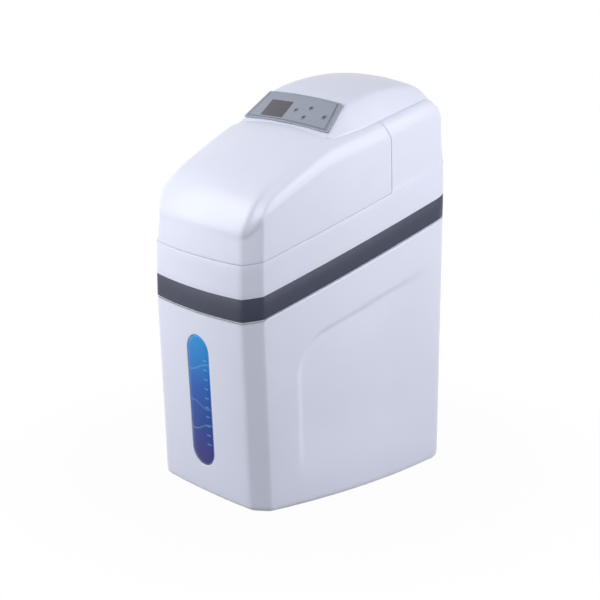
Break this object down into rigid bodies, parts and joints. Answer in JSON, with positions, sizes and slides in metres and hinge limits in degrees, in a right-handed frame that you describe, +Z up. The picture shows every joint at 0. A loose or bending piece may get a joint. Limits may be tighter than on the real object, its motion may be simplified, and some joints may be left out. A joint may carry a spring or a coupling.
{
  "type": "water softener",
  "caption": "Cabinet water softener with a slanted dark band, hinged salt lid, control panel on the rear hood, sight window, resin tank with its valve and a brine well.",
  "frame": {"origin": "middle of the base on the floor, halfway between the front and the rear of the cabinet at its band", "axes": "+X to the right when facing the front, +Y from the front to the rear, +Z up"},
  "size_m": [0.325, 0.5073, 0.7052],
  "materials": {
    "housing": "smooth moulded, cool white",
    "band": "smooth dark slate",
    "window": "clear lens over a blue print",
    "seal": "matt black",
    "panel": "satin mid grey",
    "overlay": "satin film",
    "lens": "glossy dark grey",
    "key": "soft matt dark grey",
    "electronics": "coated board",
    "steel": "bright",
    "tank": "wound fibre, satin",
    "black": "satin black",
    "resin": "amber beads",
    "white": "plain white",
    "gear": "natural acetal",
    "brass": "plain",
    "motor": "plain",
    "lever": "red",
    "grid": "plain white",
    "inlet": "black"
  },
  "bodies": {
    "cabinet": {"brine_cabinet": "housing", "sight_window": "window", "window_seal": "seal", "trim_band": "band", "upper_housing": "housing", "hinge_brackets": "white", "hinge_pins": "steel", "panel_fascia": "panel", "keypad_overlay": "overlay", "display_lens": "lens", "display_module": "black", "control_board": "electronics", "board_screws": "steel", "resin_tank": "tank", "tank_boot": "black", "resin_bed": "resin", "riser_tube": "white", "lower_strainer": "white", "neck_seal": "seal", "valve_body": "black", "valve_cap": "black", "cap_screws": "steel", "gear_cover": "black", "drive_motor": "motor", "injector_cap": "black", "brine_nut": "white", "drain_elbow": "white", "union_nuts": "black", "bypass_body": "black", "brine_well": "white", "float_valve": "white", "suction_pipe": "white", "air_check": "white", "brine_line": "white", "salt_grid": "grid", "overflow_elbow": "white", "overflow_nut": "white", "power_inlet": "inlet"},
    "lid": {"salt_lid": "housing", "lid_arms": "white"},
    "menu_key": {"key_menu": "key"},
    "up_key": {"key_up": "key"},
    "back_key": {"key_back": "key"},
    "next_key": {"key_next": "key"},
    "rotor": {"valve_rotor": "gear", "drive_gear": "gear"},
    "pinion": {"motor_pinion": "brass"},
    "inlet_handle": {"inlet_lever": "lever"},
    "outlet_handle": {"outlet_lever": "lever"},
    "float": {"float_rod": "steel", "float_ball": "white"},
    "cap": {"well_cap": "white"}
  },
  "joints": [
    {"name": "lid_hinge", "type": "hinge", "parent": "cabinet", "child": "lid", "pos_m": [0, 0.06, 0.64718], "axis": [-1, 0, 0], "range_deg": [0, 65]},
    {"name": "menu_press", "type": "slide", "parent": "cabinet", "child": "menu_key", "axis": [-0.0121, 0.6406, -0.7678], "range_m": [0, 0.0008], "stiffness_N_per_m": 600},
    {"name": "up_press", "type": "slide", "parent": "cabinet", "child": "up_key", "axis": [-0.0463, 0.6399, -0.767], "range_m": [0, 0.0008], "stiffness_N_per_m": 600},
    {"name": "back_press", "type": "slide", "parent": "cabinet", "child": "back_key", "axis": [-0.0452, 0.64, -0.7671], "range_m": [0, 0.0008], "stiffness_N_per_m": 600},
    {"name": "next_press", "type": "slide", "parent": "cabinet", "child": "next_key", "axis": [-0.0932, 0.6378, -0.7645], "range_m": [0, 0.0008], "stiffness_N_per_m": 600},
    {"name": "valve_turn", "type": "hinge", "parent": "cabinet", "child": "rotor", "pos_m": [0, 0.105, 0.57642], "axis": [0, 0, 1], "continuous": true},
    {"name": "pinion_turn", "type": "hinge", "parent": "cabinet", "child": "pinion", "pos_m": [0.0375, 0.105, 0.57642], "axis": [0, 0, 1], "continuous": true},
    {"name": "inlet_turn", "type": "hinge", "parent": "cabinet", "child": "inlet_handle", "pos_m": [-0.028, 0.204, 0.56542], "axis": [0, 0, -1], "range_deg": [0, 90]},
    {"name": "outlet_turn", "type": "hinge", "parent": "cabinet", "child": "outlet_handle", "pos_m": [0.028, 0.204, 0.56542], "axis": [0, 0, 1], "range_deg": [0, 90]},
    {"name": "float_rise", "type": "slide", "parent": "cabinet", "child": "float", "axis": [0, 0, 1], "range_m": [0, 0.03]},
    {"name": "cap_lift", "type": "slide", "parent": "cabinet", "child": "cap", "axis": [0, 0, 1], "range_m": [0, 0.05]}
  ],
  "couplings": [
    {"joint": "pinion_turn", "follows": "valve_turn", "ratio": -4}
  ]
}
